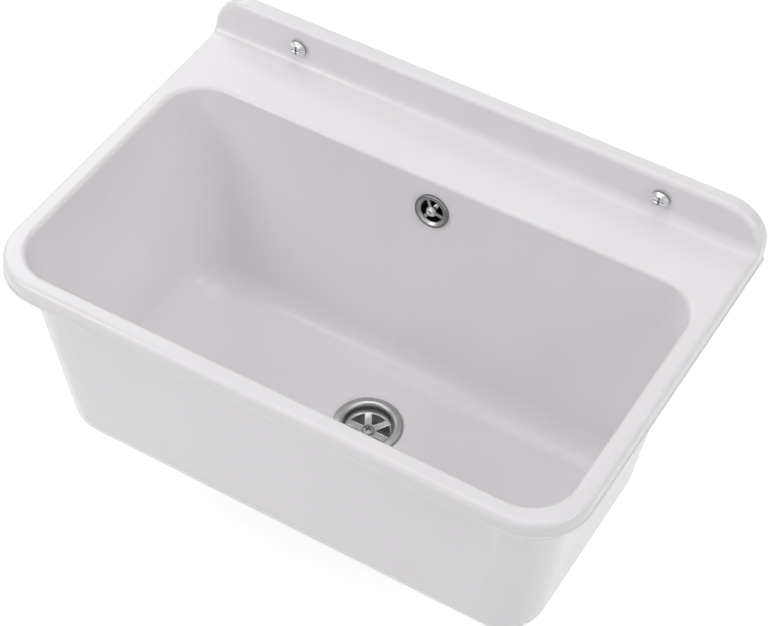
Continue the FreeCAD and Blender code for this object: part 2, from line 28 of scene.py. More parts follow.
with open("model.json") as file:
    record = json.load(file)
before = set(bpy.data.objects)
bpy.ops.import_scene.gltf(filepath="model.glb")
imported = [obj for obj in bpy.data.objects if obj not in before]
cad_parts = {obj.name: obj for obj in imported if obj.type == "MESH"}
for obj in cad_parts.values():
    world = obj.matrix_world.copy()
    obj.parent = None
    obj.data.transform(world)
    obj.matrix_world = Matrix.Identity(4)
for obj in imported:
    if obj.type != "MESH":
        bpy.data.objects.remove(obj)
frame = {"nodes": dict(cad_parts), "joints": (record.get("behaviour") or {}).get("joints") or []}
nodes = frame["nodes"]
joints = {joint["name"]: joint for joint in frame["joints"]}
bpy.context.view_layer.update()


def jointFrame(jointName):
    # origin and axis of a screw or nut, as a matrix that turns local +Z to the axis
    joint = joints[jointName]
    axis = Vector(joint["axis"]).normalized()
    turn = Vector((0, 0, 1)).rotation_difference(axis).to_matrix().to_4x4()
    return Matrix.Translation(Vector(joint["pos_m"])) @ turn


wallLeft = jointFrame("left_screw_turn")
wallRight = jointFrame("right_screw_turn")
drainAt = jointFrame("drain_screw_turn")
overflowAt = jointFrame("overflow_screw_turn")
lowerUnion = jointFrame("lower_nut_turn")
upperUnion = jointFrame("upper_nut_turn")
headRise = {"wall": 0.0167, "drain": 0.0012, "overflow": 0.0030}     # joint's place to the head's underside
leftSeat = wallLeft @ Matrix.Translation((0, 0, headRise["wall"]))
rightSeat = wallRight @ Matrix.Translation((0, 0, headRise["wall"]))
drainSeat = drainAt @ Matrix.Translation((0, 0, headRise["drain"]))
overflowSeat = overflowAt @ Matrix.Translation((0, 0, headRise["overflow"]))
overflowAxis = (overflowAt.to_3x3() @ Vector((0, 0, 1))).to_tuple()


# Mesh helpers

def newPiece(name, mesh, body, material):
    piece = bpy.data.objects.new(name, mesh)
    bpy.context.scene.collection.objects.link(piece)
    mesh.materials.clear()
    mesh.materials.append(material)
    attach(piece, body)
    return piece


mergeDistance = 2e-6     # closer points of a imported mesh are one
smoothAngle = 32         # degrees between faces that still shade as one surface


def smoothByAngle(mesh, degrees=smoothAngle):
    mesh.shade_smooth()
    mesh.set_sharp_from_angle(angle=math.radians(degrees))


def cadCopy(nodeName, name, degrees=smoothAngle):
    # the CAD node's own shape, with its loose triangles joined so that its curves shade smoothly
    bm = bmesh.new()
    bm.from_mesh(nodes[nodeName].data)
    bmesh.ops.remove_doubles(bm, verts=bm.verts, dist=mergeDistance)
    mesh = bpy.data.meshes.new(name)
    bm.to_mesh(mesh)
    bm.free()
    smoothByAngle(mesh, degrees)
    return mesh


def evaluated(source, name):
    # the object's mesh with its modifiers applied, as a plain mesh
    graph = bpy.context.evaluated_depsgraph_get()
    mesh = bpy.data.meshes.new_from_object(source.evaluated_get(graph))
    mesh.name = name
    bpy.data.objects.remove(source)
    return mesh


def scratchObject(mesh):
    holder = bpy.data.objects.new("scratch", mesh)
    bpy.context.scene.collection.objects.link(holder)
    return holder


# Shader helpers

def addNode(tree, kind, **values):
    node = tree.nodes.new(kind)
    for key, value in values.items():
        setattr(node, key, value)
    return node


def link(tree, fromSocket, toSocket):
    tree.links.new(fromSocket, toSocket)


def mathNode(tree, operation, first, second):
    node = addNode(tree, "ShaderNodeMath", operation=operation)
    for i, value in enumerate((first, second)):
        if isinstance(value, (int, float)):
            node.inputs[i].default_value = value
        else:
            link(tree, value, node.inputs[i])
    return node.outputs[0]


def rangeNode(tree, value, low, high, toLow, toHigh):
    node = addNode(tree, "ShaderNodeMapRange", clamp=True)
    link(tree, value, node.inputs["Value"])
    for key, number in (("From Min", low), ("From Max", high), ("To Min", toLow), ("To Max", toHigh)):
        node.inputs[key].default_value = number
    return node.outputs["Result"]


def groupTree(name, inputs, outputs):
    tree = bpy.data.node_groups.new(name, "ShaderNodeTree")
    for label, kind, value in inputs:
        socket = tree.interface.new_socket(label, in_out="INPUT", socket_type="NodeSocket" + kind)
        if value is not None:
            socket.default_value = value
    for label, kind in outputs:
        tree.interface.new_socket(label, in_out="OUTPUT", socket_type="NodeSocket" + kind)
    return tree, tree.nodes.new("NodeGroupInput"), tree.nodes.new("NodeGroupOutput")


def noise(tree, vector, scale, detail, roughness=0.55):
    node = addNode(tree, "ShaderNodeTexNoise")
    link(tree, vector, node.inputs["Vector"])
    if isinstance(scale, (int, float)):
        node.inputs["Scale"].default_value = scale
    else:
        link(tree, scale, node.inputs["Scale"])
    node.inputs["Detail"].default_value = detail
    node.inputs["Roughness"].default_value = roughness
    return node.outputs["Fac"]


def makeMouldedSkin():
    # moulded plastic: slow waves where the melt shrank, flow lines, and a fine grain
    tree, source, sink = groupTree(
        "mouldedSkin",
        [("Vector", "Vector", None), ("Wave Scale", "Float", 9.0), ("Flow Scale", "Float", 30.0),
         ("Grain Scale", "Float", 900.0)],
        [("Wave", "Float"), ("Flow", "Float"), ("Grain", "Float")])
    vector = source.outputs["Vector"]
    stretched = addNode(tree, "ShaderNodeMapping")
    link(tree, vector, stretched.inputs["Vector"])
    stretched.inputs["Scale"].default_value = (1.0, 1.0, 0.25)     # the melt flows down the walls
    wave = noise(tree, vector, source.outputs["Wave Scale"], 1.5, 0.4)
    flow = noise(tree, stretched.outputs["Vector"], source.outputs["Flow Scale"], 3.0, 0.5)
    grain = noise(tree, vector, source.outputs["Grain Scale"], 2.0, 0.6)
    for label, value in (("Wave", wave), ("Flow", flow), ("Grain", grain)):
        link(tree, value, sink.inputs[label])
    return tree


scuffShape = {"turns": ((0.3, 0.5, 0.9), (1.1, 0.2, -0.6)), "stretch": 22.0, "lines": (0.60, 0.72),
              "patchScale": 14.0, "patches": (0.45, 0.65)}


def makeFineScuffs():
    # long faint marks in two directions, from handling and cleaning
    tree, source, sink = groupTree(
        "fineScuffs",
        [("Vector", "Vector", None), ("Scale", "Float", 40.0), ("Amount", "Float", 0.5)],
        [("Scuff", "Float")])
    marks = []
    for turn in scuffShape["turns"]:
        mapping = addNode(tree, "ShaderNodeMapping")
        link(tree, source.outputs["Vector"], mapping.inputs["Vector"])
        mapping.inputs["Rotation"].default_value = turn
        mapping.inputs["Scale"].default_value = (1.0, scuffShape["stretch"], scuffShape["stretch"])
        lines = noise(tree, mapping.outputs["Vector"], source.outputs["Scale"], 4.0, 0.7)
        marks.append(rangeNode(tree, lines, *scuffShape["lines"], 0.0, 1.0))
    both = mathNode(tree, "MAXIMUM", marks[0], marks[1])
    cloud = noise(tree, source.outputs["Vector"], scuffShape["patchScale"], 2.0)
    patches = rangeNode(tree, cloud, *scuffShape["patches"], 0.0, 1.0)
    scuff = mathNode(tree, "MULTIPLY", mathNode(tree, "MULTIPLY", both, patches), source.outputs["Amount"])
    link(tree, scuff, sink.inputs["Scuff"])
    return tree


sweepScale = 90.0     # slow change of tone round a turned piece


def makeTurnedLines():
    # fine rings round an axis, as a lathe or a polishing wheel leaves them, with the place along and off that axis
    tree, source, sink = groupTree(
        "turnedLines",
        [("Vector", "Vector", None), ("Centre", "Vector", None), ("Axis", "Vector", (0, 0, 1)),
         ("Lines", "Float", 2500.0)],
        [("Ring", "Float"), ("Sweep", "Float"), ("Radius", "Float"), ("Height", "Float")])
    away = addNode(tree, "ShaderNodeVectorMath", operation="SUBTRACT")
    link(tree, source.outputs["Vector"], away.inputs[0])
    link(tree, source.outputs["Centre"], away.inputs[1])
    onAxis = addNode(tree, "ShaderNodeVectorMath", operation="PROJECT")
    link(tree, away.outputs[0], onAxis.inputs[0])
    link(tree, source.outputs["Axis"], onAxis.inputs[1])
    radial = addNode(tree, "ShaderNodeVectorMath", operation="SUBTRACT")
    link(tree, away.outputs[0], radial.inputs[0])
    link(tree, onAxis.outputs[0], radial.inputs[1])
    radius = addNode(tree, "ShaderNodeVectorMath", operation="LENGTH")
    link(tree, radial.outputs[0], radius.inputs[0])
    height = addNode(tree, "ShaderNodeVectorMath", operation="DOT_PRODUCT")
    link(tree, away.outputs[0], height.inputs[0])
    link(tree, source.outputs["Axis"], height.inputs[1])
    place = mathNode(tree, "ADD", radius.outputs["Value"], height.outputs["Value"])
    rings = addNode(tree, "ShaderNodeTexNoise", noise_dimensions="1D")
    link(tree, mathNode(tree, "MULTIPLY", place, source.outputs["Lines"]), rings.inputs["W"])
    rings.inputs["Scale"].default_value = 1.0
    rings.inputs["Detail"].default_value = 3.0
    sweep = addNode(tree, "ShaderNodeTexNoise")
    link(tree, radial.outputs[0], sweep.inputs["Vector"])
    sweep.inputs["Scale"].default_value = sweepScale
    link(tree, rings.outputs["Fac"], sink.inputs["Ring"])
    link(tree, sweep.outputs["Fac"], sink.inputs["Sweep"])
    link(tree, radius.outputs["Value"], sink.inputs["Radius"])
    link(tree, height.outputs["Value"], sink.inputs["Height"])
    return tree


def makeInsideTube():
    # 1 inside a round way of a given radius between two heights on its axis, 0 outside it
    tree, source, sink = groupTree(
        "insideTube",
        [("Vector", "Vector", None), ("Centre", "Vector", None), ("Axis", "Vector", (0, 0, 1)),
         ("Radius", "Float", 0.01), ("Low", "Float", -1.0), ("High", "Float", 1.0)],
        [("Inside", "Float")])
    place = addNode(tree, "ShaderNodeGroup", node_tree=turnedLines)
    for label in ("Vector", "Centre", "Axis"):
        link(tree, source.outputs[label], place.inputs[label])
    near = mathNode(tree, "LESS_THAN", place.outputs["Radius"], source.outputs["Radius"])
    above = mathNode(tree, "GREATER_THAN", place.outputs["Height"], source.outputs["Low"])
    below = mathNode(tree, "LESS_THAN", place.outputs["Height"], source.outputs["High"])
    link(tree, mathNode(tree, "MULTIPLY", near, mathNode(tree, "MULTIPLY", above, below)), sink.inputs["Inside"])
    return tree


mouldedSkin = makeMouldedSkin()
fineScuffs = makeFineScuffs()
turnedLines = makeTurnedLines()
insideTube = makeInsideTube()


def newMaterial(name):
    material = bpy.data.materials.new(name)
    material.use_nodes = True
    tree = material.node_tree
    shader = tree.nodes["Principled BSDF"]
    coordinates = addNode(tree, "ShaderNodeTexCoord").outputs["Object"]
    return material, tree, shader, coordinates


def placeGroup(tree, group, vector, **values):
    node = addNode(tree, "ShaderNodeGroup", node_tree=group)
    link(tree, vector, node.inputs["Vector"])
    for key, value in values.items():
        node.inputs[key].default_value = value
    return node.outputs


def mixColour(tree, mask, first, second):
    node = addNode(tree, "ShaderNodeMix", data_type="RGBA")
    link(tree, mask, node.inputs["Factor"])
    for index, value in ((6, first), (7, second)):
        if isinstance(value, tuple):
            node.inputs[index].default_value = (*value, 1)
        else:
            link(tree, value, node.inputs[index])
    return node.outputs[2]


def bumpNode(tree, height, distance, normal=None):
    node = addNode(tree, "ShaderNodeBump")
    link(tree, height, node.inputs["Height"])
    node.inputs["Distance"].default_value = distance
    node.inputs["Strength"].default_value = 1.0
    if normal:
        link(tree, normal, node.inputs["Normal"])
    return node.outputs["Normal"]


plasticIor = 1.49


def skinOf(tree, vector, values):
    wave, flow, grain = values["skinScales"]
    return placeGroup(tree, mouldedSkin, vector, **{"Wave Scale": wave, "Flow Scale": flow, "Grain Scale": grain})


def scuffsOf(tree, vector, values):
    scale, amount = values["scuffs"]
    return placeGroup(tree, fineScuffs, vector, Scale=scale, Amount=amount)


def cloudy(tree, skin):
    return rangeNode(tree, mathNode(tree, "ADD", skin["Wave"], skin["Flow"]), 0.7, 1.3, 0.0, 1.0)


tubFinish = {
    "skinScales": (7.0, 22.0, 1100.0),     # wave, flow and grain
    "scuffs": (9.0, 0.5),                  # scale and amount
    "colour": (0.845, 0.825, 0.845),
    "shade": (0.820, 0.800, 0.820),
    "roughness": 0.24,
    "scuffedRoughness": 0.36,
    "waveHeight": 0.00030,
    "grainHeight": 0.000010,
    "holeShade": (0.012, 0.012, 0.012),     # painted shade inside the overflow hole
    "holeRadius": 0.0134,
    "holeDepth": 0.020,
    "grainRoughness": 0.02,
}


def tubPlastic():
    material, tree, shader, vector = newMaterial("tubPlastic")
    values = tubFinish
    skin = skinOf(tree, vector, values)
    marks = scuffsOf(tree, vector, values)
    unshaded = mixColour(tree, cloudy(tree, skin), values["colour"], values["shade"])
    # painted shade: the inside of the overflow hole is coloured near black
    hole = placeGroup(tree, insideTube, vector, Centre=overflowAt.translation.to_tuple(), Axis=overflowAxis,
                      Radius=values["holeRadius"], Low=-values["holeDepth"], High=0.0)
    link(tree, mixColour(tree, hole["Inside"], unshaded, values["holeShade"]), shader.inputs["Base Color"])
    rough = rangeNode(tree, marks["Scuff"], 0.0, 1.0, values["roughness"], values["scuffedRoughness"])
    grainy = rangeNode(tree, skin["Grain"], 0.3, 0.7, -values["grainRoughness"], values["grainRoughness"])
    link(tree, mathNode(tree, "ADD", rough, grainy), shader.inputs["Roughness"])
    waves = bumpNode(tree, skin["Wave"], values["waveHeight"])
    link(tree, bumpNode(tree, skin["Grain"], values["grainHeight"], waves), shader.inputs["Normal"])
    shader.inputs["IOR"].default_value = plasticIor
    return material


wasteFinish = {
    "skinScales": (40.0, 90.0, 1500.0),
    "scuffs": (30.0, 0.7),
    "scuffedRoughness": 0.57,
    "colour": (0.80, 0.80, 0.79),
    "shade": (0.73, 0.73, 0.72),
    "roughness": 0.42,
    "grainHeight": 0.00004,
    "insideShade": (0.008, 0.008, 0.009),      # painted shade inside the overflow's ways
    "wayRadius": 0.0134,                # between the inside and the outside of the elbow's wall
    "neck": 0.032,                      # how far the shaded neck runs in from the basin, to the riser's axis
    "chamber": (-0.0965, -0.0455),      # lowest and highest shaded place in the upright chamber
}


def wastePlastic(name, shadedInside=False):
    material, tree, shader, vector = newMaterial(name)
    values = wasteFinish
    skin = skinOf(tree, vector, values)
    marks = scuffsOf(tree, vector, values)
    colour = mixColour(tree, cloudy(tree, skin), values["colour"], values["shade"])
    # painted shade: the insides of the overflow's neck and riser chamber are coloured near black
    if shadedInside:
        neck = placeGroup(tree, insideTube, vector, Centre=overflowAt.translation.to_tuple(), Axis=overflowAxis,
                          Radius=values["wayRadius"], Low=-values["neck"], High=0.0)
        low, high = values["chamber"]
        riser = placeGroup(tree, insideTube, vector, Centre=(*upperUnion.translation.xy, 0), Axis=(0, 0, 1),
                           Radius=values["wayRadius"], Low=low, High=high)
        insideShade = mathNode(tree, "MAXIMUM", neck["Inside"], riser["Inside"])
        colour = mixColour(tree, insideShade, colour, values["insideShade"])
    link(tree, colour, shader.inputs["Base Color"])
    link(tree, rangeNode(tree, marks["Scuff"], 0.0, 1.0, values["roughness"], values["scuffedRoughness"]),
         shader.inputs["Roughness"])
    link(tree, bumpNode(tree, skin["Grain"], values["grainHeight"]), shader.inputs["Normal"])
    shader.inputs["IOR"].default_value = plasticIor
    return material


metalMarks = {"scuffs": (70.0, 0.6), "roughness": 0.18}
zoneStreaks = {"bands": (0.40, 0.60), "least": 0.25, "detail": 2.0}


def band(tree, value, low, high, soft):
    # 1 between low and high, fading to 0 over the soft width on both sides
    return mathNode(tree, "MULTIPLY", rangeNode(tree, value, low - soft, low, 0.0, 1.0),
                    rangeNode(tree, value, high, high + soft, 1.0, 0.0))


def metal(name, finish, place):
    # turned or pressed metal: its rings are centred on the given place, and darker zones go by radius and height
    material, tree, shader, vector = newMaterial(name)
    axis = (place.to_3x3() @ Vector((0, 0, 1))).to_tuple()
    rings = placeGroup(tree, turnedLines, vector, Centre=place.translation.to_tuple(), Axis=axis,
                       Lines=finish["lines"])
    marks = scuffsOf(tree, vector, metalMarks)
    colour = mixColour(tree, rings["Sweep"], finish["colour"], finish["dull"])
    metallic = None
    for patch in finish["zones"]:
        mask = mathNode(tree, "MULTIPLY", band(tree, rings["Radius"], *patch["radius"], patch["soft"]),
                        band(tree, rings["Height"], *patch["height"], patch["soft"]))
        if patch["streaks"] > 0:
            streak = addNode(tree, "ShaderNodeTexNoise", noise_dimensions="1D")
            link(tree, mathNode(tree, "MULTIPLY", rings["Height"], patch["streaks"]), streak.inputs["W"])
            streak.inputs["Scale"].default_value = 1.0
            streak.inputs["Detail"].default_value = zoneStreaks["detail"]
            streaky = rangeNode(tree, streak.outputs["Fac"], *zoneStreaks["bands"], zoneStreaks["least"], 1.0)
            mask = mathNode(tree, "MULTIPLY", mask, streaky)
        mask = mathNode(tree, "MULTIPLY", mask, patch["amount"])
        colour = mixColour(tree, mask, colour, patch["colour"])
        # a recess-shade zone is painted shade: dark and no longer metallic
        if patch["recessShade"]:
            unshaded = mathNode(tree, "SUBTRACT", 1.0, mask)
            metallic = unshaded if metallic is None else mathNode(tree, "MULTIPLY", metallic, unshaded)
    link(tree, colour, shader.inputs["Base Color"])
    rough = rangeNode(tree, rings["Ring"], 0.25, 0.75, finish["roughness"], finish["roughness"] + finish["spread"])
    scuffed = mathNode(tree, "MULTIPLY", marks["Scuff"], metalMarks["roughness"])
    link(tree, mathNode(tree, "ADD", rough, scuffed), shader.inputs["Roughness"])
    link(tree, bumpNode(tree, rings["Ring"], finish["ringHeight"]), shader.inputs["Normal"])
    if metallic is None:
        shader.inputs["Metallic"].default_value = 1.0
    else:
        link(tree, metallic, shader.inputs["Metallic"])
    return material


def zone(colour, amount, radius, height, soft=0.0003, streaks=0.0, recessShade=False):
    return {"colour": colour, "amount": amount, "radius": radius, "height": height, "soft": soft,
            "streaks": streaks, "recessShade": recessShade}


sealFinish = {"skinScales": (60.0, 140.0, 1800.0), "tones": (0.35, 0.75),
              "colour": (0.018, 0.018, 0.019), "bloom": (0.045, 0.045, 0.048), "roughness": (0.55, 0.72),
              "grainHeight": 0.00006}
washerFinish = {"skinScales": (120.0, 200.0, 2500.0), "tones": (0.3, 0.7),
                "colour": (0.60, 0.60, 0.61), "bloom": (0.50, 0.50, 0.51), "roughness": (0.35, 0.50),
                "grainHeight": 0.00003}


def softPlastic(name, values):
    # rubber or nylon: two clouded tones and a grain
    material, tree, shader, vector = newMaterial(name)
    skin = skinOf(tree, vector, values)
    cloud = rangeNode(tree, skin["Wave"], *values["tones"], 0.0, 1.0)
    link(tree, mixColour(tree, cloud, values["colour"], values["bloom"]), shader.inputs["Base Color"])
    link(tree, rangeNode(tree, skin["Grain"], 0.3, 0.7, *values["roughness"]), shader.inputs["Roughness"])
    link(tree, bumpNode(tree, skin["Grain"], values["grainHeight"]), shader.inputs["Normal"])
    return material


def screwFinish(top, drop, reach):
    # bright turned steel, with painted shade on the floor of the cross recess
    return {"colour": (0.76, 0.76, 0.77), "dull": (0.68, 0.68, 0.69), "roughness": 0.17, "spread": 0.10,
            "lines": 5200.0, "ringHeight": 0.000004,
            "zones": [zone((0.10, 0.10, 0.10), 0.75, (0.0, reach), (top - 0.004, top - drop), 0.0002, recessShade=True)]}


strainerFinish = {
    "colour": (0.50, 0.495, 0.50), "dull": (0.41, 0.405, 0.41), "roughness": 0.20, "spread": 0.18,
    "lines": 1900.0, "ringHeight": 0.000022,
    # painted shade: the cup's inner wall is coloured near black, broken into streaks; a grey band lies at radius 34
    # to 36 mm
    "zones": [zone((0.05, 0.05, 0.055), 0.93, (0.0242, 0.0256), (-0.2680, -0.2606), 0.0008, streaks=1100.0),
              zone((0.30, 0.30, 0.305), 0.7, (0.0338, 0.0360), (-0.2740, -0.2540), 0.0006)],
}
rosetteFinish = {
    "colour": (0.47, 0.465, 0.47), "dull": (0.39, 0.385, 0.39), "roughness": 0.30, "spread": 0.12,
    "lines": 3200.0, "ringHeight": 0.000008,
    # painted shade: a dark band round the rosette's outer ring, and a grey band at radius 11 to 12 mm
    "zones": [zone((0.16, 0.16, 0.165), 0.75, (0.0160, 0.0190), (-0.0400, 0.0100), 0.0012),
              zone((0.30, 0.30, 0.30), 0.6, (0.0110, 0.0123), (-0.0400, 0.0100), 0.0003)],
}
# painted highlight: the window rims get a much paler, glossier steel than the strainer they belong to
rimHighlightFinish = {"colour": (0.86, 0.86, 0.87), "dull": (0.80, 0.80, 0.81), "roughness": 0.16, "spread": 0.06,
             "lines": 3000.0, "ringHeight": 0.000004, "zones": []}
# painted shade: the drain screw and its washer get a darker, rougher copy of the screw steel, and the head's centre
# is coloured near black
shadedHubFinish = {"colour": (0.36, 0.36, 0.365), "dull": (0.26, 0.26, 0.265), "roughness": 0.34, "spread": 0.12,
             "lines": 5200.0, "ringHeight": 0.000006,
             "zones": [zone((0.02, 0.02, 0.02), 0.95, (0.0, 0.0034), (-0.0010, 0.0022), 0.0002, recessShade=True)]}
brassFinish = {"colour": (0.72, 0.52, 0.22), "dull": (0.62, 0.44, 0.18), "roughness": 0.25, "spread": 0.15,
               "lines": 4000.0, "ringHeight": 0.00001, "zones": []}
# painted shade: the overflow's nut insert, seen through the rosette's windows, gets a near-black brass
shadedBrassFinish = {"colour": (0.11, 0.08, 0.04), "dull": (0.06, 0.045, 0.03), "roughness": 0.45, "spread": 0.2,
                 "lines": 4000.0, "ringHeight": 0.00001, "zones": []}
drainUpright = Matrix.Translation((drainAt.translation.x, drainAt.translation.y, 0.0))

tubWhite = tubPlastic()
wasteWhite = wastePlastic("wastePlastic")
elbowWhite = wastePlastic("overflowPlastic", shadedInside=True)
sealBlack = softPlastic("sealRubber", sealFinish)
washerGrey = softPlastic("washerNylon", washerFinish)
satinSteel = metal("strainerSteel", strainerFinish, drainUpright)
rosetteSteel = metal("rosetteSteel", rosetteFinish, overflowAt)
turnedBrass = metal("insertBrass", brassFinish, drainAt)
shadedBrass = metal("shadedBrass", shadedBrassFinish, overflowAt)
wallHead = screwFinish(0.0060, 0.0012, 0.0052)
brightLeft = metal("screwSteelLeft", wallHead, leftSeat)
brightRight = metal("screwSteelRight", wallHead, rightSeat)
shadedDrainSteel = metal("shadedScrewSteelDrain", shadedHubFinish, drainSeat)
rimHighlightSteel = metal("rimHighlightSteel", rimHighlightFinish, drainUpright)
brightOverflow = metal("screwSteelOverflow", screwFinish(0.0022, 0.0006, 0.0024), overflowSeat)
print("materials ready")


# Threads: a ridge that follows a helix round a core.
# Known fault: it winds left-handed, while the joints turn as right-hand threads do.

def geometryTree(name, inputs):
    # an empty tree with a mesh and a material going in beside the given inputs, and their socket identifiers
    tree = bpy.data.node_groups.new(name, "GeometryNodeTree")
    sockets = {}
    for label, kind, value in (("Geometry", "Geometry", None), *inputs, ("Material", "Material", None)):
        socket = tree.interface.new_socket(label, in_out="INPUT", socket_type="NodeSocket" + kind)
        if value is not None:
            socket.default_value = value
        sockets[label] = socket.identifier
    tree.interface.new_socket("Geometry", in_out="OUTPUT", socket_type="NodeSocketGeometry")
    return tree, sockets, tree.nodes.new("NodeGroupInput").outputs, tree.nodes.new("NodeGroupOutput")


def finishTree(tree, geometry, given, sink):
    real = addNode(tree, "GeometryNodeRealizeInstances")
    link(tree, geometry, real.inputs[0])
    painted = addNode(tree, "GeometryNodeSetMaterial")
    link(tree, real.outputs[0], painted.inputs["Geometry"])
    link(tree, given["Material"], painted.inputs["Material"])
    link(tree, painted.outputs[0], sink.inputs[0])


leastRidge = 0.02     # size of a ridge at its ends, as a share of its full size


def makeThreadTree():
    tree, sockets, given, sink = geometryTree("threadRidge", (
        ("Core Radius", "Float", 0.003), ("End Radius", "Float", 0.003), ("Pitch", "Float", 0.001),
        ("Turns", "Float", 10.0), ("Depth", "Float", 0.0005), ("Width", "Float", 0.0005),
        ("Start", "Float", 0.0), ("Sides", "Int", 4), ("Steps", "Int", 40), ("Run In", "Float", 0.5),
        ("Run Out", "Float", 0.5)))
    spiral = addNode(tree, "GeometryNodeCurveSpiral")
    link(tree, given["Steps"], spiral.inputs["Resolution"])
    link(tree, given["Turns"], spiral.inputs["Rotations"])
    link(tree, given["Core Radius"], spiral.inputs["Start Radius"])
    link(tree, given["End Radius"], spiral.inputs["End Radius"])
    length = mathNode(tree, "MULTIPLY", given["Turns"], given["Pitch"])
    link(tree, length, spiral.inputs["Height"])
    moved = addNode(tree, "GeometryNodeTransform")
    lift = addNode(tree, "ShaderNodeCombineXYZ")
    link(tree, given["Start"], lift.inputs["Z"])
    link(tree, lift.outputs[0], moved.inputs["Translation"])
    link(tree, spiral.outputs["Curve"], moved.inputs["Geometry"])
    upright = addNode(tree, "GeometryNodeSetCurveNormal", mode="Z_UP")
    link(tree, moved.outputs[0], upright.inputs["Curve"])
    section = addNode(tree, "GeometryNodeCurvePrimitiveCircle", mode="RADIUS")
    link(tree, given["Sides"], section.inputs["Resolution"])
    section.inputs["Radius"].default_value = 1.0
    shaped = addNode(tree, "GeometryNodeTransform")
    size = addNode(tree, "ShaderNodeCombineXYZ")
    link(tree, given["Depth"], size.inputs["X"])
    link(tree, given["Width"], size.inputs["Y"])
    size.inputs["Z"].default_value = 1.0
    link(tree, size.outputs[0], shaped.inputs["Scale"])
    link(tree, section.outputs["Curve"], shaped.inputs["Geometry"])
    # the ridge sinks into the core over its first and last part of a turn
    along = addNode(tree, "GeometryNodeSplineParameter")
    turnsIn = mathNode(tree, "MULTIPLY", along.outputs["Factor"], given["Turns"])
    turnsLeft = mathNode(tree, "SUBTRACT", given["Turns"], turnsIn)
    fade = mathNode(tree, "MINIMUM", mathNode(tree, "DIVIDE", turnsIn, given["Run In"]),
                    mathNode(tree, "DIVIDE", turnsLeft, given["Run Out"]))
    fade = mathNode(tree, "MAXIMUM", mathNode(tree, "MINIMUM", fade, 1.0), leastRidge)
    swept = addNode(tree, "GeometryNodeCurveToMesh")
    link(tree, upright.outputs[0], swept.inputs["Curve"])
    link(tree, shaped.outputs[0], swept.inputs["Profile Curve"])
    link(tree, fade, swept.inputs["Scale"])
    swept.inputs["Fill Caps"].default_value = True
    together = addNode(tree, "GeometryNodeJoinGeometry")
    link(tree, swept.outputs["Mesh"], together.inputs[0])
    link(tree, given["Geometry"], together.inputs[0])
    finishTree(tree, together.outputs[0], given, sink)
    return tree, sockets


threadTree, threadSockets = makeThreadTree()


def withRidge(core, name, material, **values):
    # the core's mesh, in its local frame, with one run of thread ridge added
    holder = scratchObject(core)
    modifier = holder.modifiers.new("thread", "NODES")
    modifier.node_group = threadTree
    for label, value in values.items():
        modifier[threadSockets[label]] = value
    modifier[threadSockets["Material"]] = material
    return evaluated(holder, name)


threadSmoothAngle = 30
cutDistance = 1e-7     # a cut closer than this to a point goes through it


def threaded(mesh, name, place, material, values):
    # the part between low and high is turned down to the root, then the ridge is wound on it
    mesh.transform(place.inverted())
    low, high, run, outer, root = (values[key] for key in ("low", "high", "run", "outer", "root"))
    near = run / 4     # keeps points on the two inner cuts with the part that is turned down
    bm = bmesh.new()
    bm.from_mesh(mesh)
    for height in (low, low + run, high - run, high):
        everything = bm.verts[:] + bm.edges[:] + bm.faces[:]
        bmesh.ops.bisect_plane(bm, geom=everything, dist=cutDistance,
                               plane_co=(0, 0, height), plane_no=(0, 0, 1))
    for vertex in bm.verts:
        radius = vertex.co.xy.length
        if low + run - near < vertex.co.z < high - run + near and radius > values["bare"]:
            vertex.co.xy *= root / radius
    bm.to_mesh(mesh)
    bm.free()
    for start, turns, startRadius, endRadius, runIn, runOut in values["ridges"]:
        mesh = withRidge(mesh, name, material, **{
            "Core Radius": startRadius, "End Radius": endRadius, "Pitch": values["pitch"], "Turns": turns,
            "Start": start, "Depth": outer - root, "Width": values["pitch"] * values["fatness"],
            "Steps": values["steps"], "Run In": runIn, "Run Out": runOut})
    mesh.transform(place)
    smoothByAngle(mesh, threadSmoothAngle)
    return mesh


softEdge = {"segments": 2, "sharperThan": 35, "smoothAngle": 40}


def softEdges(mesh, name, width):
    # a small rounding along the edges, as moulding and tumbling leave it
    holder = scratchObject(mesh)
    modifier = holder.modifiers.new("edges", "BEVEL")
    modifier.width = width
    modifier.segments = softEdge["segments"]
    modifier.limit_method = "ANGLE"
    modifier.angle_limit = math.radians(softEdge["sharperThan"])
    modifier.use_clamp_overlap = True
    rounded = evaluated(holder, name)
    smoothByAngle(rounded, softEdge["smoothAngle"])
    return rounded


# Pieces

tubShading = {"smoothAngle": 30, "faceWeight": 80}     # large faces keep their own shading


def weighted(mesh, name):
    holder = scratchObject(mesh)
    modifier = holder.modifiers.new("normals", "WEIGHTED_NORMAL")
    modifier.keep_sharp = True
    modifier.weight = tubShading["faceWeight"]
    return evaluated(holder, name)


tubMesh = weighted(cadCopy("tub", "tubShell", tubShading["smoothAngle"]), "tubShell")
tubShell = newPiece("tubShell", tubMesh, "sink", tubWhite)
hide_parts("tub")
print("tub ready")

# Wall screws and their washers

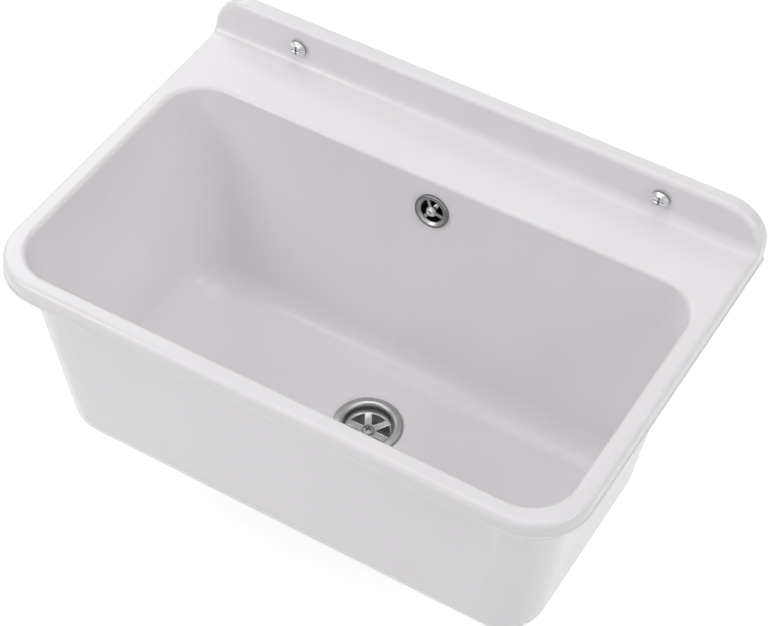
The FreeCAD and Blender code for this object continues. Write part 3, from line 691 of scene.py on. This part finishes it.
# In each thread, low and high bound the turned-down part, and nothing thinner than bare is touched.
# Each ridge: start height, turns, radius at its start and end, turns over which it grows and fades.
wallScrew = {"low": -0.0265, "high": -0.0162, "run": 0.0005, "outer": 0.0040, "root": 0.0030, "bare": 0.0036,
             "pitch": 0.0040, "fatness": 0.22, "steps": 48, "shorter": 0.025, "shankEnd": -0.040,
             "ridges": ((-0.0340, 2.0, 0.0003, 0.0030, 1.6, 0.01), (-0.0260, 2.1, 0.0030, 0.0030, 0.01, 0.5))}
for side, seat, material in (("left", leftSeat, brightLeft), ("right", rightSeat, brightRight)):
    name = side + "WallScrew"
    mesh = cadCopy("wall_screw_" + side, name)
    back = seat.inverted()
    for vertex in mesh.vertices:
        local = back @ vertex.co
        if local.z < wallScrew["shankEnd"]:
            local.z += wallScrew["shorter"]
            vertex.co = seat @ local
    mesh = threaded(mesh, name, seat, material, wallScrew)
    piece = newPiece(name, mesh, side + "_screw", material)
    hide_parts("wall_screw_" + side)
    name = side + "WallWasher"
    mesh = softEdges(cadCopy("wall_washer_" + side, name), name, 0.0003)
    piece = newPiece(name, mesh, side + "_washer", washerGrey)
    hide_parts("wall_washer_" + side)
print("wall fixings ready")


# Strainer: the pressed cup, and a rolled rim round each window of its grid

def makeRimTree():
    tree, sockets, given, sink = geometryTree(
        "windowRims", (("Count", "Int", 6), ("Bead", "Float", 0.0004), ("Sides", "Int", 8)))
    outline = addNode(tree, "GeometryNodeMeshToCurve")
    link(tree, given["Geometry"], outline.inputs["Mesh"])
    upright = addNode(tree, "GeometryNodeSetCurveNormal", mode="Z_UP")
    link(tree, outline.outputs["Curve"], upright.inputs["Curve"])
    section = addNode(tree, "GeometryNodeCurvePrimitiveCircle", mode="RADIUS")
    link(tree, given["Sides"], section.inputs["Resolution"])
    link(tree, given["Bead"], section.inputs["Radius"])
    swept = addNode(tree, "GeometryNodeCurveToMesh")
    link(tree, upright.outputs[0], swept.inputs["Curve"])
    link(tree, section.outputs["Curve"], swept.inputs["Profile Curve"])
    points = addNode(tree, "GeometryNodePoints")
    link(tree, given["Count"], points.inputs["Count"])
    index = addNode(tree, "GeometryNodeInputIndex")
    step = mathNode(tree, "DIVIDE", 2 * math.pi, given["Count"])
    angle = mathNode(tree, "MULTIPLY", index.outputs[0], step)
    turn = addNode(tree, "ShaderNodeCombineXYZ")
    link(tree, angle, turn.inputs["Z"])
    copies = addNode(tree, "GeometryNodeInstanceOnPoints")
    link(tree, points.outputs[0], copies.inputs["Points"])
    link(tree, swept.outputs["Mesh"], copies.inputs["Instance"])
    link(tree, turn.outputs[0], copies.inputs["Rotation"])
    finishTree(tree, copies.outputs[0], given, sink)
    return tree, sockets


rimTree, rimSockets = makeRimTree()
grid = {"windows": 6, "inner": 0.00815, "outer": 0.02285, "halfSpoke": 0.00315, "bead": 0.00042, "rise": 0.0001,
        "arcSteps": 10, "rimSmoothAngle": 50, "cupSmoothAngle": 35}


def windowOutline():
    # one window between two spokes, as a closed run of edges about local Z
    step = 2 * math.pi / grid["windows"]
    bm = bmesh.new()
    run = []
    for radius, forward in ((grid["outer"], True), (grid["inner"], False)):
        edge = math.asin(grid["halfSpoke"] / radius)
        angles = [edge + (step - 2 * edge) * i / grid["arcSteps"] for i in range(grid["arcSteps"] + 1)]
        for angle in (angles if forward else reversed(angles)):
            run.append(bm.verts.new((radius * math.cos(angle), radius * math.sin(angle), grid["rise"])))
    for i, vertex in enumerate(run):
        bm.edges.new((vertex, run[(i + 1) % len(run)]))
    mesh = bpy.data.meshes.new("windowOutline")
    bm.to_mesh(mesh)
    bm.free()
    return mesh


def windowRims():
    holder = scratchObject(windowOutline())
    modifier = holder.modifiers.new("rims", "NODES")
    modifier.node_group = rimTree
    # the rims take the paler steel as a painted highlight
    for label, value in (("Count", grid["windows"]), ("Bead", grid["bead"]), ("Material", rimHighlightSteel)):
        modifier[rimSockets[label]] = value
    rims = evaluated(holder, "gridRims")
    rims.transform(drainAt)
    smoothByAngle(rims, grid["rimSmoothAngle"])
    return rims


strainerMesh = cadCopy("drain_strainer", "drainStrainer", grid["cupSmoothAngle"])
drainStrainer = newPiece("drainStrainer", strainerMesh, "sink", satinSteel)
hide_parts("drain_strainer")
newPiece("gridRims", windowRims(), "sink", rimHighlightSteel)
print("strainer ready")


# Threaded pieces of the waste and the overflow

drainScrew = {"low": -0.0305, "high": -0.0010, "run": 0.0003, "outer": 0.0030, "root": 0.00245, "bare": 0.00246,
              "pitch": 0.0010, "fatness": 0.46, "steps": 32,
              "ridges": ((-0.0292, 27.6, 0.00245, 0.00245, 0.5, 0.5),)}
overflowScrew = {"low": -0.0265, "high": -0.0010, "run": 0.0003, "outer": 0.0025, "root": 0.00206, "bare": 0.00207,
                 "pitch": 0.0008, "fatness": 0.46, "steps": 32,
                 "ridges": ((-0.0252, 29.5, 0.00206, 0.00206, 0.5, 0.5),)}
unionThread = {"low": -0.0155, "high": -0.0008, "run": 0.0005, "outer": 0.0165, "root": 0.0154, "bare": 0.0150,
               "pitch": 0.0023, "fatness": 0.42, "steps": 72,
               "ridges": ((-0.0143, 5.4, 0.0154, 0.0154, 0.3, 0.3),)}
outletThread = {"low": -0.3412, "high": -0.3206, "run": 0.0006, "outer": 0.0239, "root": 0.0228, "bare": 0.0222,
                "pitch": 0.00231, "fatness": 0.42, "steps": 96,
                "ridges": ((-0.3400, 7.9, 0.0228, 0.0228, 0.3, 0.3),)}
threadedPieces = (
    ("drainBody", "drain_body", "sink", "waste_plastic", wasteWhite,
     ((lowerUnion, unionThread), (drainUpright, outletThread))),
    ("overflowElbow", "overflow_elbow", "sink", "waste_plastic", elbowWhite, ((upperUnion, unionThread),)),
    ("drainScrew", "drain_screw", "drain_screw", "screw_steel", shadedDrainSteel, ((drainSeat, drainScrew),)),
    ("overflowScrew", "overflow_screw", "overflow_screw", "screw_steel", brightOverflow,
     ((overflowSeat, overflowScrew),)),
)
for name, node, body, slotName, material, threads in threadedPieces:
    mesh = cadCopy(node, name)
    for place, values in threads:
        mesh = threaded(mesh, name, place, material, values)
    piece = newPiece(name, mesh, body, material)
    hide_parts(node)
print("threads ready")

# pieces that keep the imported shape: name, node, body, slot, material, rounding along the edges
plainCopies = (
    ("drainFlangeSeal", "drain_flange_seal", "sink", "seal_rubber", sealBlack, 0.0002),
    ("drainBodyGasket", "drain_body_gasket", "sink", "seal_rubber", sealBlack, 0.0004),
    ("drainNutInsert", "drain_nut_insert", "sink", "insert_brass", turnedBrass, 0.0002),
    ("lowerUnionNut", "lower_union_nut", "lower_nut", "waste_plastic", wasteWhite, 0.0003),
    ("lowerConeSeal", "lower_cone_seal", "lower_seal", "seal_rubber", sealBlack, 0.0001),
    ("overflowPipe", "overflow_pipe", "sink", "waste_plastic", wasteWhite, 0.0),
    ("upperUnionNut", "upper_union_nut", "upper_nut", "waste_plastic", wasteWhite, 0.0003),
    ("upperConeSeal", "upper_cone_seal", "upper_seal", "seal_rubber", sealBlack, 0.0001),
    ("overflowNutInsert", "overflow_nut_insert", "sink", "insert_brass", shadedBrass, 0.0002),
    ("overflowGasket", "overflow_gasket", "sink", "seal_rubber", sealBlack, 0.0003),
    ("overflowRosette", "overflow_rosette", "sink", "strainer_steel", rosetteSteel, 0.0003),
    ("drainScrewWasher", "drain_screw_washer", "drain_washer", "screw_steel", shadedDrainSteel, 0.0002),
    ("overflowScrewWasher", "overflow_screw_washer", "overflow_washer", "screw_steel", brightOverflow, 0.0001),
)
for name, node, body, slotName, material, rounding in plainCopies:
    mesh = cadCopy(node, name)
    if rounding > 0:
        mesh = softEdges(mesh, name, rounding)
    piece = newPiece(name, mesh, body, material)
    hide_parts(node)
print("waste and overflow ready")


# Stage: floor, lights, camera

# the floor glows in camera and mirror rays, more with distance, so that it runs into a white background
stageFinish = {"floorHeight": -0.345, "floorHalf": 7.0, "floorColour": (0.86, 0.86, 0.86), "floorRoughness": 0.9,
               "floorSpecular": 0.1, "whiten": 0.56, "whiteFrom": (0.8, 2.2)}


def makeFloor():
    bm = bmesh.new()
    half, height = stageFinish["floorHalf"], stageFinish["floorHeight"]
    corners = [bm.verts.new((x, y, height)) for x, y in ((-half, -half), (half, -half), (half, half), (-half, half))]
    bm.faces.new(corners)
    mesh = bpy.data.meshes.new("floor")
    bm.to_mesh(mesh)
    bm.free()
    floor = bpy.data.objects.new("floor", mesh)
    bpy.context.scene.collection.objects.link(floor)
    material, tree, shader, vector = newMaterial("paleFloor")
    shader.inputs["Base Color"].default_value = (*stageFinish["floorColour"], 1)
    shader.inputs["Roughness"].default_value = stageFinish["floorRoughness"]
    shader.inputs["Specular IOR Level"].default_value = stageFinish["floorSpecular"]
    rays = addNode(tree, "ShaderNodeLightPath")
    seen = mathNode(tree, "MAXIMUM", rays.outputs["Is Camera Ray"], rays.outputs["Is Glossy Ray"])
    shader.inputs["Emission Color"].default_value = (1, 1, 1, 1)
    away = addNode(tree, "ShaderNodeVectorMath", operation="LENGTH")
    link(tree, vector, away.inputs[0])
    near, far = stageFinish["whiteFrom"]
    glow = rangeNode(tree, away.outputs["Value"], near, far, stageFinish["whiten"], 1.0)
    link(tree, mathNode(tree, "MULTIPLY", seen, glow), shader.inputs["Emission Strength"])
    mesh.materials.append(material)


# world lights the part, and seenWorld is what its shiny faces mirror
lightPowers = {"world": 0.12, "seenWorld": 0.70, "overhead": 17.0, "leftBack": 18.0, "frontHigh": 4.5,
               "frontLeft": 22.0, "rightHigh": 20.0, "rightBack": 6.5, "backHigh": 3.0, "frontLow": 5.5}
# each softbox: its place, and its width and height
softboxes = {
    "overhead": ((0.0, -0.3, 2.2), (1.8, 1.8)),
    "leftBack": ((-1.9, 0.9, 1.5), (1.4, 1.2)),
    "frontHigh": ((0.2, -2.6, 1.4), (1.8, 1.2)),
    "frontLeft": ((-1.6, -2.0, 1.7), (1.4, 1.2)),
    "rightHigh": ((2.3, -0.6, 1.2), (1.4, 1.4)),
    "rightBack": ((1.9, 0.9, 1.5), (1.4, 1.2)),
    "backHigh": ((-0.2, 1.9, 1.9), (1.8, 1.2)),
    "frontLow": ((-0.6, -2.4, 0.1), (1.6, 1.0)),
}
aim = Vector((0.0, -0.2, -0.12))


def makeLights():
    for name, (place, size) in softboxes.items():
        data = bpy.data.lights.new(name, "AREA")
        data.shape = "RECTANGLE"
        data.size, data.size_y = size
        data.energy = lightPowers[name]
        lamp = bpy.data.objects.new(name, data)
        lamp.location = place
        lamp.rotation_euler = (aim - Vector(place)).to_track_quat("-Z", "Y").to_euler()
        bpy.context.scene.collection.objects.link(lamp)
    world = bpy.data.worlds.new("studio")
    world.use_nodes = True
    background = world.node_tree.nodes["Background"]
    background.inputs["Color"].default_value = (1, 1, 1, 1)
    tree = world.node_tree
    rays = addNode(tree, "ShaderNodeLightPath")
    glossy = rangeNode(tree, rays.outputs["Is Glossy Ray"], 0.0, 1.0, lightPowers["world"], lightPowers["seenWorld"])
    link(tree, mathNode(tree, "MAXIMUM", glossy, rays.outputs["Is Camera Ray"]), background.inputs["Strength"])
    bpy.context.scene.world = world


cameraPlace = {"azimuth": 30.11, "elevation": 47.84, "roll": 1.26, "target": (0.00797, -0.19280, -0.102),
               "distance": 2.05356, "lens": 102.79, "sensor": 36}


def makeCamera():
    azimuth, elevation, roll = (math.radians(cameraPlace[key]) for key in ("azimuth", "elevation", "roll"))
    back = Vector((math.sin(azimuth) * math.cos(elevation), -math.cos(azimuth) * math.cos(elevation),
                   math.sin(elevation)))
    right = Vector((math.cos(azimuth), math.sin(azimuth), 0))
    up = back.cross(right)
    across = math.cos(roll) * right + math.sin(roll) * up
    along = math.cos(roll) * up - math.sin(roll) * right
    data = bpy.data.cameras.new("camera")
    data.lens = cameraPlace["lens"]
    data.sensor_width = cameraPlace["sensor"]
    camera = bpy.data.objects.new("camera", data)
    turn = Matrix((across, along, back)).transposed().to_4x4()
    target = Vector(cameraPlace["target"]) + back * cameraPlace["distance"]
    camera.matrix_world = Matrix.Translation(target) @ turn
    bpy.context.scene.collection.objects.link(camera)
    bpy.context.scene.camera = camera


makeFloor()
makeLights()
makeCamera()
bpy.context.scene.view_settings.view_transform = "Standard"
print("stage ready")
